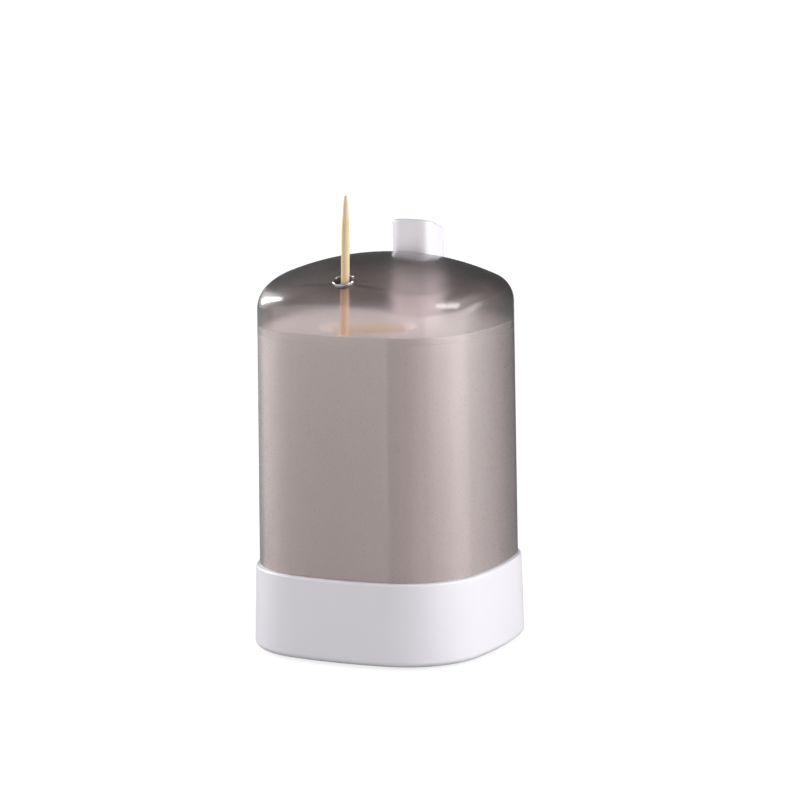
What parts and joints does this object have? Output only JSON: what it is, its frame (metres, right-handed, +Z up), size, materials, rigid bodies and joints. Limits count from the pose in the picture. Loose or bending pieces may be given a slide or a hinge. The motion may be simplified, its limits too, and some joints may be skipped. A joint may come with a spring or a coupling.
{
  "type": "toothpick dispenser",
  "caption": "Press-button toothpick dispenser: smoky domed cover over a white housing on a white base, with a lever that lifts one toothpick out of the outlet.",
  "frame": {"origin": "on the table, under the middle of the base", "axes": "+X to the right seen from the front, front (toothpick outlet) at -Y, +Z up"},
  "size_m": [0.062, 0.062, 0.1138],
  "materials": {
    "smoky_plastic": "smoky grey-brown translucent plastic, glossy outside, lightly frosted",
    "ring_metal": "polished",
    "white_gloss": "satin gloss white",
    "white_satin": "satin white",
    "inner_plastic": "moulded, matte",
    "rubber": "matte",
    "steel": "plain steel",
    "bamboo": "pale, unvarnished"
  },
  "bodies": {
    "base": {"base_housing": "white_gloss", "base_plate": "inner_plastic", "rubber_feet": "rubber", "case_screws": "steel", "inner_housing": "white_satin", "hopper_tube": "inner_plastic", "hopper_funnel": "white_satin", "toothpick_stock": "bamboo", "spring_post": "inner_plastic", "return_spring": "steel", "pivot_bracket": "inner_plastic", "pivot_pin": "steel", "pin_clip": "steel", "guide_rod": "steel", "hopper_screws": "steel", "bracket_screws": "steel"},
    "cover": {"cover": "smoky_plastic", "outlet_ring": "ring_metal"},
    "toothpick": {"toothpick": "bamboo"},
    "button": {"button_cap": "white_gloss", "push_rod": "inner_plastic"},
    "lever": {"lever": "inner_plastic", "lever_front_pin": "steel", "lever_rear_pin": "steel"},
    "lifter": {"lifter_carriage": "inner_plastic", "lift_arm": "steel"}
  },
  "joints": [
    {"name": "button_press", "type": "slide", "parent": "base", "child": "button", "axis": [0, 0, -1], "range_m": [0, 0.0085], "stiffness_N_per_m": 150, "springref_m": -0.01, "deforming": ["return_spring"]},
    {"name": "lever_rock", "type": "hinge", "parent": "base", "child": "lever", "pos_m": [0.015, 0.011, 0.0245], "axis": [-1, 0, 0], "range_deg": [0, 59.62]},
    {"name": "lifter_rise", "type": "slide", "parent": "base", "child": "lifter", "axis": [0, 0, 1], "range_m": [0, 0.03331]},
    {"name": "cover_lift", "type": "slide", "parent": "base", "child": "cover", "axis": [0, 0, 1], "range_m": [0, 0.115]},
    {"name": "toothpick_pull", "type": "slide", "parent": "cover", "child": "toothpick", "axis": [0.0244, 0, 0.9997], "range_m": [0, 0.065]}
  ],
  "couplings": [
    {"joint": "lever_rock", "follows": "button_press", "rad_per_m": 122.39},
    {"joint": "lifter_rise", "follows": "button_press", "ratio": 3.9176}
  ]
}
